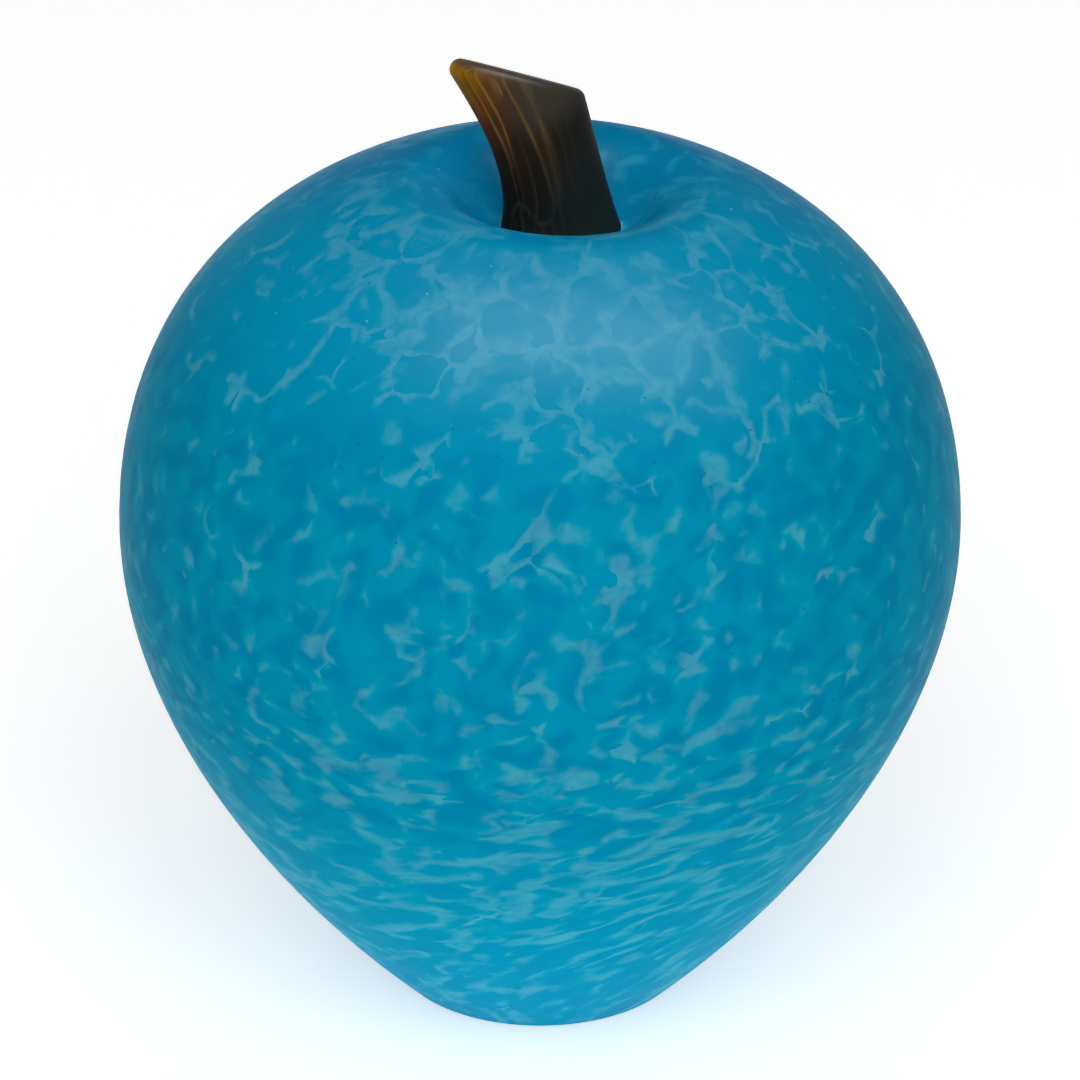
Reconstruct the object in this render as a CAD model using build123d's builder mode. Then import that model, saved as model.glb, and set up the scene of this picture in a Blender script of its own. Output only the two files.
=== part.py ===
"""Art glass apple: a blown, cased glass body with a hot glass stem set in its dimple.

Millimetres, +Z up. The origin is the middle of the ground base, and the front of the apple faces -Y.
The body is three layers of glass, gathered one over the other: an opal bubble, a coat of coloured
frit and a clear casing. Neighbouring layers share one face, so each face is drawn once, as the form
of the apple at some depth below its outer skin.
"""

import os
from math import degrees, radians, tan

from build123d import *

# Body, outside
body_diameter = 95.0
belly_height = 57.2
base_diameter = 32.6
base_bevel = 0.6

# Flank between base and belly: its rise at the base, and how far each end holds its direction
flank_angle = 44.0
flank_lower_pull = 15.0
flank_upper_pull = 24.0

# Dome over the belly, as it stood before the dimple was pressed in
dome_height = 43.8
dome_side_pull = 30.0
dome_top_pull = 24.0

# Dimple: a round hollow pressed in off centre, with a rolled lip
dimple_offset = 2.4
dimple_radius = 15.6
dimple_depth = 9.7
lip_radius = 8.0

# Glass layers, from the outside in
casing_wall = 2.0
frit_wall = 0.7
bubble_wall = 2.8

# Stem: a round bit of glass that leans out of the dimple, bends to that side and is sheared at a slant
stem_root_diameter = 15.8
stem_root_depth = 2.0
stem_waist_diameter = 11.3
stem_waist_rise = 11.4
stem_tip_diameter = 12.7
stem_length = 22.5
stem_lean = 1.7
stem_bend_radius = 59.0
stem_shear_side_slope = 14.7
stem_shear_back_slope = 21.4
stem_edge_radius = 1.2

body_radius = body_diameter / 2
base_radius = base_diameter / 2
dome_top = belly_height + dome_height
dimple_floor = dome_top - dimple_depth
dimple_centre = dimple_floor + dimple_radius


def glass_form(depth):
    """The closed form of the apple at a depth below its outer skin, dimple and lip included."""
    radius = body_radius - depth
    shrink = radius / body_radius
    heel = (base_radius - depth * tan(radians(flank_angle / 2)), depth)
    belly = (radius, belly_height)
    crown = (0, dome_top - depth)
    with BuildPart() as form:
        with BuildSketch(Plane.XZ):
            with BuildLine():
                Line((0, depth), heel)
                rise = PolarLine(heel, flank_lower_pull, flank_angle, mode=Mode.PRIVATE)
                under_belly = (radius, belly_height - flank_upper_pull * shrink)
                Bezier(heel, rise @ 1, under_belly, belly)
                over_belly = (radius, belly_height + dome_side_pull * shrink)
                beside_crown = (dome_top_pull * shrink, dome_top - depth)
                Bezier(belly, over_belly, beside_crown, crown)
                Line(crown, (0, depth))
            make_face()
        revolve(axis=Axis.Z)
        with Locations((dimple_offset, 0, dimple_centre)):
            Sphere(dimple_radius + depth, mode=Mode.SUBTRACT)
        rim = form.edges().group_by(Axis.Z)[-1]
        fillet(rim, radius=lip_radius)
    return form.part


frit_depth = casing_wall
bubble_depth = frit_depth + frit_wall
hollow_depth = bubble_depth + bubble_wall

outer_form = glass_form(0)
frit_form = glass_form(frit_depth)
bubble_form = glass_form(bubble_depth)
hollow_form = glass_form(hollow_depth)

# Opal bubble, blown hollow
with BuildPart() as opal_bubble:
    add(bubble_form)
    add(hollow_form, mode=Mode.SUBTRACT)

# Coat of coloured frit, melted on over the bubble
with BuildPart() as frit_coat:
    add(frit_form)
    add(bubble_form, mode=Mode.SUBTRACT)

# Clear casing, gathered over the frit, with the ground base and its bevelled edge
with BuildPart() as clear_casing:
    add(outer_form)
    chamfer(clear_casing.edges().group_by(Axis.Z)[0], length=base_bevel)
    add(frit_form, mode=Mode.SUBTRACT)

# Stem, lofted along its bent axis, sheared at its tip and melted onto the floor of the dimple
stem_overrun = stem_length + stem_tip_diameter
with BuildLine(Plane.XZ) as stem_axis:
    JernArc(
        start=(dimple_offset, dimple_floor - stem_root_depth),
        tangent=(-tan(radians(stem_lean)), 1),
        radius=stem_bend_radius,
        arc_size=degrees(stem_overrun / stem_bend_radius),
    )
stem_sections = (
    (0, stem_root_diameter),
    (stem_waist_rise, stem_waist_diameter),
    (stem_length, stem_tip_diameter),
    (stem_overrun, stem_tip_diameter),
)
shear_slopes = (-stem_shear_back_slope, stem_shear_side_slope, 0)
with BuildPart() as stem:
    for distance, diameter in stem_sections:
        middle = stem_axis.edge().position_at(distance, PositionMode.LENGTH)
        direction = stem_axis.edge().tangent_at(distance, PositionMode.LENGTH)
        with BuildSketch(Plane(middle, x_dir=(0, 1, 0), z_dir=direction)):
            Circle(diameter / 2)
    loft()
    shear_point = stem_axis.edge().position_at(stem_length, PositionMode.LENGTH)
    split(bisect_by=Plane(shear_point).rotated(shear_slopes), keep=Keep.BOTTOM)
    fillet(stem.faces().filter_by(GeomType.PLANE).sort_by(Axis.Z)[-1].edges(), radius=stem_edge_radius)
    add(outer_form, mode=Mode.SUBTRACT)

os.makedirs("parts", exist_ok=True)

opal_bubble.part.label = "opal_bubble"
export_step(opal_bubble.part, "parts/opal_bubble.step")

frit_coat.part.label = "frit_coat"
export_step(frit_coat.part, "parts/frit_coat.step")

clear_casing.part.label = "clear_casing"
export_step(clear_casing.part, "parts/clear_casing.step")

stem.part.label = "stem"
export_step(stem.part, "parts/stem.step")
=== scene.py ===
"""Art glass apple: a satin cased body mottled with turquoise frit, and a dark stem streaked with amber.

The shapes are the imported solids. This script gives each of them its finish, and adds the floor, the
lamps and the camera. Lengths are in metres, and the finishes work in millimetres.
"""

from math import cos, radians, sin

import bpy
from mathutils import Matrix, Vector

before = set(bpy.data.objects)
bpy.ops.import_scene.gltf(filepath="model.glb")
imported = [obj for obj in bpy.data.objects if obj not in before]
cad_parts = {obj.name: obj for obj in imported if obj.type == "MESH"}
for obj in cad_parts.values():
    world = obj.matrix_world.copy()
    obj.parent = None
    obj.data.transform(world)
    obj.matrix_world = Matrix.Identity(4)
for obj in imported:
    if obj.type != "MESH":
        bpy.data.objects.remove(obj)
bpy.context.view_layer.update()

MILLIMETRES_IN_METRE = 1000.0

# Sizes of the apple that the patterns follow, in millimetres
BODY_TOP = 100.0
DIMPLE_OFFSET = 2.4
STEM_ROOT_RADIUS = 6.7
STEM_BEND_RADIUS = 59.0
STEM_BEND_LEVEL = 87.5
STEM_REACH = 40.0

# Sizes of the patterns, in millimetres: chips of frit, threads in the stem, sparkles and dots in the skin
CHIP = 4.5
THREAD_SPACING = 1.4
THREAD_WIDTH = 0.34
SPARKLE_SPACING = 3.4
DOT_SPACING = 3.0

# How closely the frit is packed at each height, after the glass was necked in
PACKING = ((0, 1.35), (5, 1.2), (11, 0.9), (19, 0.64), (32, 0.68), (60, 1.0))

# How far a chip of frit has spread at each height, and how far the worms between them open
CHIP_SPREAD = ((0, 4.3), (20, 4.3), (40, 4.15), (54, 4.08), (78, 4.08), (85, 3.4), (92, 2.65))
WORM_OPENING = ((0, 0.08), (14, 0.13), (24, 0.2), (34, 0.22), (46, 0.16), (58, 0.05), (70, 0.0))

# Blues of the body: the frit and its deep spots, the crown, the back of the crown darkened as painted
# shade, the dimple brighter as painted light, most on its left wall, and its smoke
FRIT_BLUE = (0.0, 0.26, 0.422, 1.0)
DEEP_BLUE = (0.0, 0.21, 0.388, 1.0)
CROWN_BLUE = (0.0, 0.285, 0.53, 1.0)
BACK_PAINTED_SHADE = (0.0, 0.19, 0.43, 1.0)
POOL_BLUE_PAINTED_LIGHT = (0.0, 0.25, 0.49, 1.0)
LEFT_POOL_PAINTED_LIGHT = (0.0, 0.31, 0.65, 1.0)
SMOKE_BLUE = (0.03, 0.4, 0.62, 1.0)

# What a pale vein adds to the blue: all over it, and in its core
VEIN_TINT = (0.0, 0.09, 0.05, 1.0)
VEIN_CORE_TINT = (0.05, 0.0, 0.0, 1.0)

# Small marks in the skin, and a painted highlight round the stem's foot
SPARKLE = (0.24, 0.46, 0.56, 1.0)
DARK_DOT = (0.0, 0.13, 0.33, 1.0)
PAINTED_FOOT_HIGHLIGHT = (0.2, 0.42, 0.5, 1.0)

# The stem's glass by its thinness, from the thick foot to the thin tip, where the bright amber is painted
# light shining through the thin glass
STEM_DEPTHS = (
    (0.0, (0.014, 0.026, 0.026, 1.0)),
    (8.0, (0.011, 0.017, 0.017, 1.0)),
    (15.0, (0.012, 0.012, 0.01, 1.0)),
    (21.0, (0.021, 0.014, 0.009, 1.0)),
    (25.0, (0.06, 0.022, 0.009, 1.0)),
    (29.0, (0.14, 0.046, 0.008, 1.0)),
    (32.0, (0.21, 0.09, 0.004, 1.0)),
    (36.0, (0.42, 0.19, 0.0, 1.0)),
)

# The threads in it by how far along the stem they are, from its foot to its tip
STEM_THREADS = (
    (4.0, (0.022, 0.034, 0.032, 1.0)),
    (10.0, (0.028, 0.032, 0.026, 1.0)),
    (16.0, (0.055, 0.042, 0.024, 1.0)),
    (21.0, (0.2, 0.112, 0.03, 1.0)),
    (25.0, (0.26, 0.15, 0.02, 1.0)),
)

# The glow beside its threads, the mist near its tip, and painted sheen on the face of its cut, which faces
# up
STEM_GLOW = (0.06, 0.026, 0.008, 1.0)
STEM_MIST = (0.05, 0.046, 0.035, 1.0)
STEM_CUT_PAINTED_SHEEN = (0.055, 0.05, 0.038, 1.0)

# The two layers under the casing
CHIP_BLUE = (0.0, 0.26, 0.45, 1.0)
DEEP_CHIP_BLUE = (0.0, 0.16, 0.34, 1.0)
CHIP_GAP = (0.3, 0.55, 0.66, 1.0)
OPAL = (0.62, 0.74, 0.78, 1.0)
OPAL_CLOUD = (0.8, 0.86, 0.88, 1.0)

# Stage: the floor lies just under the base, and it and the surround are dimmer as lights than to the eye
FLOOR_SIZE = 8.0
FLOOR_LEVEL = -0.0001
FLOOR_PALE = (0.9, 0.9, 0.9, 1.0)
FLOOR_LIGHT = 0.28
FLOOR_SEEN = 0.24
SURROUND_WHITE = (1.0, 1.0, 1.0, 1.0)
SURROUND_LIGHT = 0.31
SURROUND_SEEN = 0.69

# Camera
VIEW_ELEVATION = 26.0
VIEW_DISTANCE = 0.8
VIEW_HEIGHT = 0.0541
LENS = 235.5
SENSOR = 36.0


class Value:
    """A shader socket that takes part in sums: each operator adds one Math node."""

    def __init__(self, nodes, socket):
        self.nodes = nodes
        self.socket = socket

    def math(self, operation, *terms):
        return self.nodes.node("Math", {"operation": operation}, dict(enumerate(terms)))

    def __add__(self, other):
        return self.math("ADD", self, other)

    __radd__ = __add__

    def __sub__(self, other):
        return self.math("SUBTRACT", self, other)

    def __rsub__(self, other):
        return self.math("SUBTRACT", other, self)

    def __mul__(self, other):
        return self.math("MULTIPLY", self, other)

    __rmul__ = __mul__

    def __truediv__(self, other):
        return self.math("DIVIDE", self, other)

    def __rtruediv__(self, other):
        return self.math("DIVIDE", other, self)

    def __pow__(self, other):
        return self.math("POWER", self, other)

    def __abs__(self):
        return self.math("ABSOLUTE", self)

    def highest(self, other):
        return self.math("MAXIMUM", self, other)

    def merged(self, other, softness):
        """The higher of two values, with a soft change from one to the other."""
        return self.math("SMOOTH_MAX", self, other, softness)

    def clipped(self):
        """The value, kept from 0 to 1."""
        return self.nodes.node("Clamp", inputs={0: self})


class Nodes:
    """A shader tree, with the patterns that the finishes are made of."""

    def __init__(self, tree):
        self.tree = tree

    def node(self, kind, settings=None, inputs=None, output=0):
        """Adds a node: its settings first, then the values or links of its sockets."""
        made = self.tree.nodes.new("ShaderNode" + kind)
        for name, value in (settings or {}).items():
            if name == "stops":
                self.set_stops(made.color_ramp, value)
            else:
                setattr(made, name, value)
        for name, value in (inputs or {}).items():
            self.feed(made.inputs[name], value)
        return Value(self, made.outputs[output])

    def feed(self, socket, value):
        """Links a socket to a Value, or sets it to a plain number or colour."""
        if isinstance(value, Value):
            self.tree.links.new(value.socket, socket)
        else:
            socket.default_value = value

    def set_stops(self, ramp, stops):
        """Gives a colour ramp its stops, with soft changes between them."""
        ramp.interpolation = "EASE"
        while len(ramp.elements) < len(stops):
            ramp.elements.new(1.0)
        for element, (place, colour) in zip(ramp.elements, stops):
            element.position = place
            element.color = colour

    def place(self):
        """The shaded point, in millimetres in the apple's own frame."""
        return self.scaled(self.node("TexCoord", output="Object"), MILLIMETRES_IN_METRE)

    def facing(self):
        """The direction in which the surface faces."""
        return self.node("NewGeometry", output="Normal")

    def seen(self):
        """1 for the rays that see a thing itself, 0 for those that only gather its light."""
        straight = self.node("LightPath", output="Is Camera Ray")
        mirrored = self.node("LightPath", output="Is Glossy Ray")
        return straight + mirrored + self.node("LightPath", output="Is Transmission Ray")

    def split(self, vector):
        """The three numbers of a vector."""
        made = self.node("SeparateXYZ", inputs={0: vector}).socket.node
        return [Value(self, socket) for socket in made.outputs]

    def join(self, x, y, z):
        """A vector of three numbers."""
        return self.node("CombineXYZ", inputs={0: x, 1: y, 2: z})

    def step(self, value, low, high):
        """0 at low, 1 at high, with a soft change between them."""
        settings = {"interpolation_type": "SMOOTHSTEP"}
        return self.node("MapRange", settings, {0: value, 1: low, 2: high})

    def tone(self, value, reach, stops):
        """A colour that changes smoothly as a value goes from 0 to its reach, given at some places."""
        shares = [(place / reach, colour) for place, colour in stops]
        return self.node("ValToRGB", {"stops": shares}, {0: value / reach})

    def curve(self, value, reach, stops):
        """A number that changes smoothly as a value goes from 0 to its reach, given at some places."""
        top = max(level for place, level in stops)
        greys = [(place, [level / top] * 3 + [1.0]) for place, level in stops]
        return self.tone(value, reach, greys) * top

    def noise(self, vector, size, detail=2.0, output="Fac"):
        """Cloudy noise whose features are about a size across."""
        inputs = {"Vector": vector, "Scale": 1.0 / size, "Detail": detail}
        return self.node("TexNoise", inputs=inputs, output=output)

    def waver(self, vector, size, detail=2.0):
        """Cloudy noise that goes up and down about 0."""
        return self.noise(vector, size, detail) - 0.5

    def cells(self, vector, size, feature="F1", output="Distance"):
        """A pack of cells about a size across."""
        inputs = {"Vector": vector, "Scale": 1.0 / size}
        return self.node("TexVoronoi", {"feature": feature}, inputs, output)

    def vector(self, operation, *terms):
        """A sum on vectors: a vector, or a number where the operation gives one."""
        output = "Value" if operation in ("DOT_PRODUCT", "LENGTH") else "Vector"
        return self.node("VectorMath", {"operation": operation}, dict(enumerate(terms)), output)

    def scaled(self, vector, factor):
        """A vector times a number."""
        return self.node("VectorMath", {"operation": "SCALE"}, {0: vector, "Scale": factor})

    def stir(self, vector, size, reach):
        """Pushes the points of a pattern about, by up to half a reach each way."""
        push = self.noise(vector, size, detail=0.0, output="Color")
        centred = self.vector("SUBTRACT", push, (0.5, 0.5, 0.5))
        return self.vector("ADD", vector, self.scaled(centred, reach))

    def along_skin(self, vector, facing):
        """The length of a vector after it is laid flat on a skin."""
        lift = self.scaled(facing, self.vector("DOT_PRODUCT", vector, facing))
        return self.vector("LENGTH", self.vector("SUBTRACT", vector, lift))

    def off_joins(self, laid, cell, facing):
        """How far along a skin a point is from the join of the two nearest cells.

        A join that lies nearly flat in the skin would show as a plate, so it counts as further off.
        """
        near = self.cells(laid, cell, "F1", "Position")
        far = self.cells(laid, cell, "F2", "Position")
        between = self.vector("SUBTRACT", far, near)
        middle = self.scaled(self.vector("ADD", far, near), 0.5)
        to_join = self.vector("SUBTRACT", middle, laid)
        upright = self.along_skin(between, facing)
        lies_flat = self.step(upright / self.vector("LENGTH", between), 0.6, 0.3)
        return self.vector("DOT_PRODUCT", to_join, between) / upright + 3.0 * lies_flat

    def mix(self, factor, first, second, blend="MIX"):
        """A colour between two colours, or a blend of them."""
        settings = {"data_type": "RGBA", "blend_type": blend}
        return self.node("Mix", settings, {0: factor, 6: first, 7: second}, output=2)


class Finish(Nodes):
    """A procedural material around one Principled shader."""

    def __init__(self, name, **constants):
        self.material = bpy.data.materials.new(name)
        self.material.use_nodes = True
        super().__init__(self.material.node_tree)
        self.shader = self.tree.nodes["Principled BSDF"]
        self.set(**constants)

    def set(self, **sockets):
        """Sets or links sockets of the shader, named with _ for a space."""
        for word, value in sockets.items():
            self.feed(self.shader.inputs[word.replace("_", " ")], value)


class Skin:
    """A point of the apple's skin, and how far it is in the dimple, at the sides or behind the dimple."""

    def __init__(self, finish):
        self.place = finish.place()
        self.x, self.y, self.z = finish.split(self.place)

        # The middle that the skin goes round moves over to the dimple's middle near the top
        self.x_round = self.x - DIMPLE_OFFSET * finish.step(self.z, 60.0, 90.0)
        self.radius = (self.x_round * self.x_round + self.y * self.y) ** 0.5

        self.dimpled = finish.step(self.radius, 24.0, 12.0) * finish.step(self.z, 60.0, 70.0)
        self.sideways = finish.step(abs(self.x), 12.0, 42.0)
        self.beyond = finish.step(self.y, -8.0, 12.0) * finish.step(self.radius, 36.0, 25.0)


def lay_frit(finish, skin):
    """Where a point of the skin lay on the frit before the glass was swung and necked in."""
    packed = (1.0 + 0.3 * skin.dimpled) * finish.curve(skin.z, BODY_TOP, PACKING)
    necked = finish.step(skin.z, 48.0, 8.0)
    swung = skin.x * (0.12 + 0.58 * necked)
    squeezed = 20.0 * necked + 5.0 * finish.step(skin.z, 10.0, -6.0)
    return finish.join(skin.x_round * packed, skin.y * packed, skin.z - squeezed - swung)


def pale_line(across, shut, bluntness, fringe, fade, falloff):
    """How pale a vein is, by the distance across it and the distance past its blunt end."""
    away = (across * across + shut * shut + bluntness) ** 0.5 + fringe
    return (1.0 - away / fade).clipped() ** falloff


def gaps(finish, laid, chip, top):
    """Pale gaps between round chips: blobs where three chips meet, and a net of thin lines near the top."""
    near = CHIP * finish.cells(laid, CHIP)
    swell = (3.0 - 0.6 * top) * finish.waver(laid, 2.2, detail=1.0)
    frayed = (1.1 + 1.2 * top) * finish.waver(laid, 1.1, detail=3.5)
    across = (1.1 - 0.35 * top) * finish.off_joins(laid, CHIP, finish.facing())
    shut = (1.5 * (chip - near) - swell).highest(0.0)
    fringe = frayed - 0.5 * swell - 0.5
    return pale_line(across, shut, bluntness=0.45, fringe=fringe, fade=1.7, falloff=1.5)


def worms(finish, laid, closing):
    """Pale worms, uneven in width, with rounded ends where the chips close up."""
    level_per_millimetre = 0.094
    across = finish.waver(laid, 5.4, detail=0.5) / level_per_millimetre
    shut = (5.0 * (closing - finish.noise(laid, 2.7, detail=0.0))).highest(0.0)
    swell = 1.1 * finish.waver(laid, 2.4, detail=1.0)
    frayed = 1.3 * finish.waver(laid, 0.9, detail=2.5)
    fringe = frayed - swell - 0.35
    return pale_line(across, shut, bluntness=0.3, fringe=fringe, fade=1.8, falloff=1.3)


def dimple_arcs(finish, skin):
    """Pale arcs round the front of the dimple, drawn out along its rim."""
    stretch = 2.4
    round_x = stretch * skin.x_round / skin.radius
    round_y = stretch * skin.y / skin.radius
    streaks = finish.noise(finish.join(round_x, round_y, skin.radius / stretch), 1.0)
    rim = finish.step(skin.radius, 10.0, 15.0) * finish.step(skin.radius, 27.0, 19.0)
    front = finish.step(skin.y, 10.0, -6.0) * finish.step(skin.z, 80.0, 92.0)
    return rim * front * finish.step(streaks, 0.4, 0.66)


def frit(finish, skin):
    """The melted frit: how deep its colour is, and how pale its veins are."""
    laid = lay_frit(finish, skin)
    swirled = finish.stir(laid, size=9.0, reach=3.0)
    stirred = finish.stir(swirled, size=2.2, reach=1.4)
    closed = 0.4 * finish.step(skin.dimpled, 0.1, 0.7) + 0.09 * skin.sideways
    drift = 0.16 * finish.waver(laid, 22.0) - closed

    # The net of gaps: chips spread unevenly, and further at the sides and the back of the top
    top = finish.step(skin.z, 82.0, 91.0)
    spread = finish.curve(skin.z, BODY_TOP, CHIP_SPREAD) - 4.0 * drift + 2.0 * finish.waver(laid, 4.0)
    spread = spread + top * (1.2 * skin.sideways + 1.6 * skin.beyond)
    net = gaps(finish, stirred, spread, top)

    # The worms of the lower flank, on a part of the noise away from the net's
    elsewhere = finish.vector("ADD", stirred, (31.0, 7.0, 13.0))
    closing = 0.82 - finish.curve(skin.z, BODY_TOP, WORM_OPENING) - drift
    worm = worms(finish, elsewhere, closing)

    # A thin veil near the top, but not in the dimple
    veil = 0.5 * finish.noise(stirred, 5.0) * finish.step(skin.z, 80.0, 92.0) * (1.0 - skin.dimpled)

    vein = net.merged(worm, 0.3).highest(0.7 * dimple_arcs(finish, skin)).merged(veil, 0.2)
    spots = finish.step(finish.noise(stirred, 3.2, detail=0.5), 0.36, 0.68)
    # The deep spots fade out at the crown, and thin out towards the foot, which lightens the foot as
    # painted light from the floor
    deep = spots * finish.step(skin.z, 96.0, 78.0) * (0.35 + 0.65 * finish.step(skin.z, 26.0, 50.0))
    return deep, vein


def body_blue(finish, skin, deep):
    """The blue of the frit: brighter at the crown, darker behind it as painted shade, bluer and brighter in
    the dimple as painted light, and smoky in the dimple.
    """
    blue = finish.mix(deep, FRIT_BLUE, DEEP_BLUE)
    higher = finish.mix(finish.step(skin.z, 74.0, 98.0), blue, CROWN_BLUE)
    # Painted shade: the back of the crown and the dimple's far wall are darkened where the stem shades them
    shaded_behind = finish.mix(0.9 * skin.beyond * finish.step(skin.z, 76.0, 90.0), higher, BACK_PAINTED_SHADE)
    # Painted light: the dimple is bluer and made brighter against the shade of its hollow, most on the left
    # wall under the stem
    painted_pool_light = finish.mix(finish.step(skin.x, 5.0, -8.0), POOL_BLUE_PAINTED_LIGHT, LEFT_POOL_PAINTED_LIGHT)
    with_painted_pool_light = finish.mix(finish.step(skin.dimpled, 0.4, 1.0), shaded_behind, painted_pool_light)
    stirred = finish.stir(skin.place, size=5.0, reach=4.0)
    wisps = finish.step(finish.noise(stirred, 3.2, detail=3.0), 0.46, 0.72)
    hollow = finish.step(skin.dimpled.highest(skin.beyond), 0.1, 0.6) * finish.step(skin.z, 74.0, 86.0)
    return finish.mix(0.55 * wisps * hollow, with_painted_pool_light, SMOKE_BLUE)


def mark(finish, skin, colour):
    """Adds the small marks: sparkles near the top, dark dots, and a broken pale line round the stem's foot,
    which is a painted highlight on the glass's edge there.
    """
    sparkle = finish.step(finish.cells(skin.place, SPARKLE_SPACING), 0.05, 0.02)
    sparkling = finish.mix(sparkle * finish.step(skin.z, 84.0, 94.0), colour, SPARKLE)
    elsewhere = finish.vector("ADD", skin.place, (5.0, 9.0, 2.0))
    dot = finish.step(finish.cells(elsewhere, DOT_SPACING), 0.07, 0.02)
    dotted = finish.mix(0.8 * dot, sparkling, DARK_DOT)
    # Painted highlight: a broken pale line on the glass's edge round the stem's foot
    x_stem = skin.x - DIMPLE_OFFSET
    off_stem = (x_stem * x_stem + skin.y * skin.y) ** 0.5 - STEM_ROOT_RADIUS
    foot_highlight = finish.step(off_stem, 0.5, 0.0) * finish.step(skin.z, 80.0, 90.0)
    broken = finish.step(finish.noise(skin.place, 1.2), 0.42, 0.6)
    return finish.mix(foot_highlight * broken, dotted, PAINTED_FOOT_HIGHLIGHT)


def satin_casing():
    """Satin glass: turquoise frit under a clear skin, with pale veins where the chips don't meet."""
    finish = Finish("satin_casing_finish", Specular_IOR_Level=0.0028)
    skin = Skin(finish)
    deep, vein = frit(finish, skin)
    tinted = finish.mix(vein, body_blue(finish, skin, deep), VEIN_TINT, "ADD")
    core = ((vein - 0.32) / 0.66).clipped()
    veined = finish.mix(core, tinted, VEIN_CORE_TINT, "ADD")

    # Painted light: the flank is made paler towards the foot, standing in for light bounced up from the
    # floor
    painted_floor_light = 1.0 + 0.4 * finish.step(skin.z, 52.0, 6.0)
    lift = finish.join(painted_floor_light, painted_floor_light, painted_floor_light)
    finish.set(Base_Color=finish.mix(1.0, mark(finish, skin, veined), lift, "MULTIPLY"))

    # The satin is uneven, and the skin ripples a little
    finish.set(Roughness=0.2 + 0.26 * finish.noise(skin.place, 5.0))
    ripples = {"Strength": 0.35, "Distance": 0.0005, "Height": finish.noise(skin.place, 4.5)}
    finish.set(Normal=finish.node("Bump", inputs=ripples))
    return finish.material


def stem_glass():
    """Dark glass with amber threads drawn out along the stem, thinning to amber at the tip, where light
    shining through is painted in.
    """
    finish = Finish("stem_glass_finish", Roughness=0.42, Specular_IOR_Level=0.008)

    # The point in the bent stem: how far along it, and how far to the inside or outside of its bend
    x, y, z = finish.split(finish.place())
    outward = x - DIMPLE_OFFSET + STEM_BEND_RADIUS
    rise = z - STEM_BEND_LEVEL
    across = (outward * outward + rise * rise) ** 0.5 - STEM_BEND_RADIUS
    along = STEM_BEND_RADIUS * rise.math("ARCTAN2", rise, outward)

    # Threads are the joins of cells that were drawn out along the stem, and shorter at its foot
    drawn = finish.join(across, y, 0.05 * along - 1.6 * finish.step(along, 12.0, 4.0))
    sides = finish.vector("NORMALIZE", finish.join(across, y, 0.0))
    stirred = finish.stir(drawn, size=2.0, reach=0.7)
    off_thread = finish.off_joins(stirred, THREAD_SPACING, sides)
    fading = finish.step(finish.noise(drawn, 1.6), 0.32, 0.58) * finish.step(across, 5.0, -3.0)
    thread = (1.0 - off_thread / THREAD_WIDTH).clipped() ** 1.4
    glow = (1.0 - off_thread).clipped() * finish.step(along, 10.0, 19.0)

    # The glass darkens with its thickness, and the bright amber of the thin tip is painted light shining
    # through it
    thinness = along - 1.1 * across
    glass = finish.tone(thinness, STEM_REACH, STEM_DEPTHS)
    glowing = finish.mix(0.8 * fading * glow, glass, STEM_GLOW)
    threaded = finish.mix(fading * thread, glowing, finish.tone(along, STEM_REACH, STEM_THREADS))
    mist = 0.7 * finish.step(along, 17.5, 22.0) * finish.step(across, -5.0, 2.0)
    misty = finish.mix(mist, threaded, STEM_MIST)
    # Painted sheen: faces that turn upwards, such as the cut at the top, are made a paler grey
    upward = finish.split(finish.facing())[2]
    painted_cut_sheen = 0.7 * finish.step(upward, 0.5, 0.92)
    finish.set(Base_Color=finish.mix(painted_cut_sheen, misty, STEM_CUT_PAINTED_SHEEN))
    return finish.material


def frit_glass():
    """The frit itself: turquoise chips with pale gaps."""
    finish = Finish("frit_glass_finish", Roughness=0.3)
    deep, vein = frit(finish, Skin(finish))
    blue = finish.mix(deep, CHIP_BLUE, DEEP_CHIP_BLUE)
    finish.set(Base_Color=finish.mix(vein, blue, CHIP_GAP))
    return finish.material


def opal_glass():
    """Pale opal glass, cloudy inside."""
    finish = Finish("opal_glass_finish", Roughness=0.25)
    cloud = finish.noise(finish.place(), 12.0, detail=4.0)
    finish.set(Base_Color=finish.mix(cloud, OPAL, OPAL_CLOUD))
    return finish.material


def dress(node, material):
    """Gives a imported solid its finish."""
    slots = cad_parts[node].data.materials
    slots.clear()
    slots.append(material)


def floor():
    """A plain pale floor that shows white to the camera and keeps the apple's shadow."""
    bpy.ops.mesh.primitive_plane_add(size=FLOOR_SIZE, location=(0.0, 0.0, FLOOR_LEVEL))
    plane = bpy.context.object
    plane.name = "floor"
    finish = Finish("floor_finish", Base_Color=FLOOR_PALE, Roughness=0.9, Specular_IOR_Level=0.0)
    glow = FLOOR_LIGHT + FLOOR_SEEN * finish.seen()
    finish.set(Emission_Color=finish.join(glow, glow, glow), Emission_Strength=1.0)
    plane.data.materials.append(finish.material)


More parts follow.
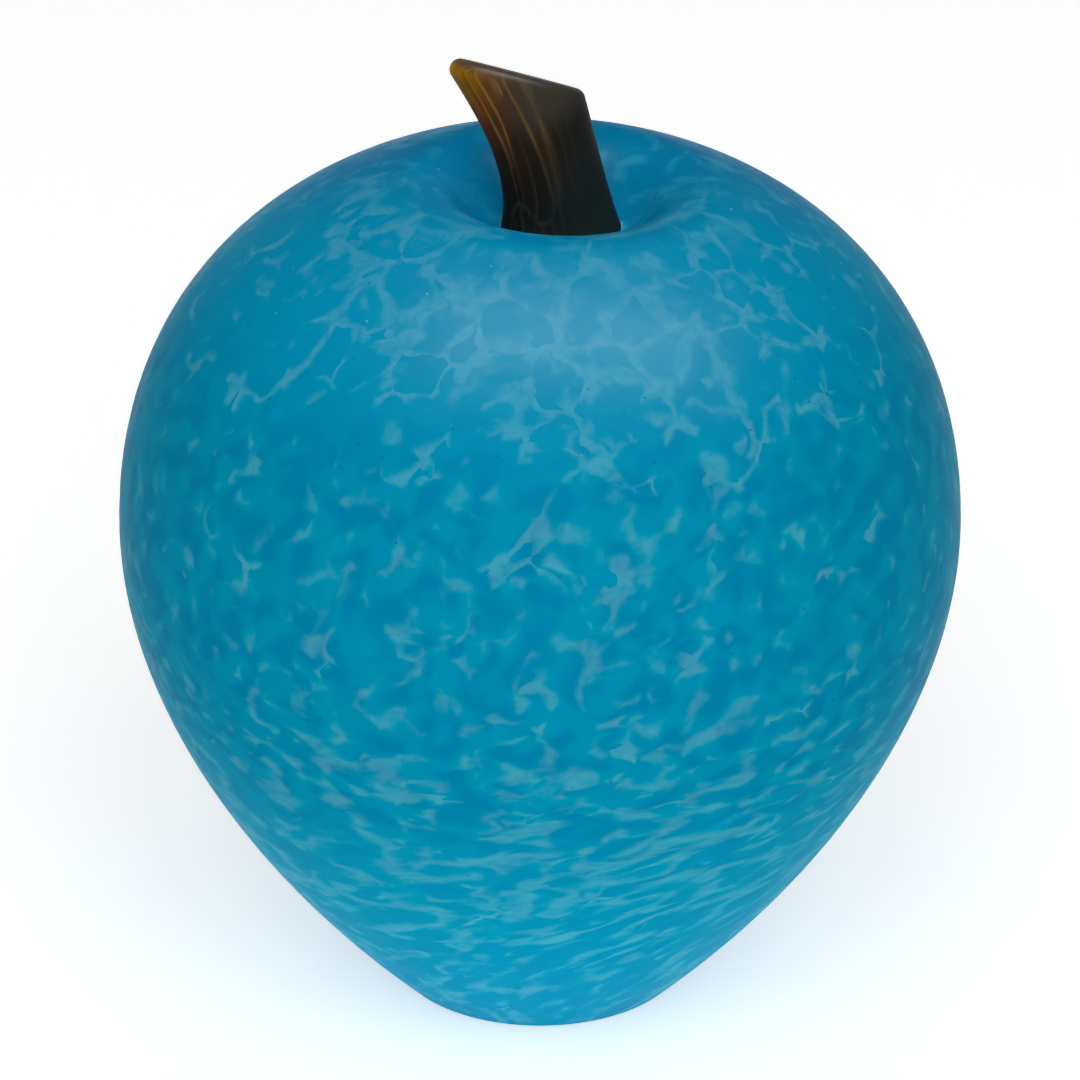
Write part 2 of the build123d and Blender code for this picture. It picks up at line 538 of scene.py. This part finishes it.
def aim(holder, place, target):
    """Puts a lamp or the camera in its place, looking at a target."""
    holder.location = place
    holder.rotation_euler = (Vector(target) - Vector(place)).to_track_quat("-Z", "Y").to_euler()
    bpy.context.scene.collection.objects.link(holder)


def lamp(name, size, place, target, power, gloss=True, diffuse=True):
    """A soft rectangular lamp, out of the camera's sight."""
    light = bpy.data.lights.new(name, "AREA")
    light.shape = "RECTANGLE"
    light.size, light.size_y = size
    light.energy = power
    holder = bpy.data.objects.new(name, light)
    holder.visible_camera = False
    holder.visible_glossy = gloss
    holder.visible_diffuse = diffuse
    aim(holder, place, target)


def studio():
    """A white surround that is dimmer as a light, two soft lamps, and a lamp for the sheen alone."""
    world = bpy.data.worlds.new("studio")
    bpy.context.scene.world = world
    world.use_nodes = True
    nodes = Nodes(world.node_tree)
    back = nodes.tree.nodes["Background"]
    nodes.feed(back.inputs["Color"], SURROUND_WHITE)
    nodes.feed(back.inputs["Strength"], SURROUND_LIGHT + SURROUND_SEEN * nodes.seen())
    middle = (0.0, 0.0, VIEW_HEIGHT)
    lamp("key", size=(1.0, 1.0), place=(0.05, -1.0, 1.05), target=middle, power=9.6, gloss=False)
    lamp("fill", size=(1.0, 0.5), place=(0.0, -1.3, 0.1), target=middle, power=2.0, gloss=False)
    overhead = (0.09, -0.03, 0.6)
    below = (0.09, -0.03, 0.1)
    lamp("sheen", size=(0.6, 0.24), place=overhead, target=below, power=125.0, diffuse=False)


def camera():
    """The photograph's view: from the front, and from above by its elevation."""
    view = bpy.data.cameras.new("camera")
    view.lens = LENS
    view.sensor_width = SENSOR
    holder = bpy.data.objects.new("camera", view)
    target = Vector((0.0, 0.0, VIEW_HEIGHT))
    tilt = radians(VIEW_ELEVATION)
    aim(holder, target + VIEW_DISTANCE * Vector((0.0, -cos(tilt), sin(tilt))), target)
    bpy.context.scene.camera = holder


dress("opal_bubble", opal_glass())
dress("frit_coat", frit_glass())
dress("clear_casing", satin_casing())
dress("stem", stem_glass())
floor()
studio()
camera()
bpy.context.scene.view_settings.view_transform = "Standard"
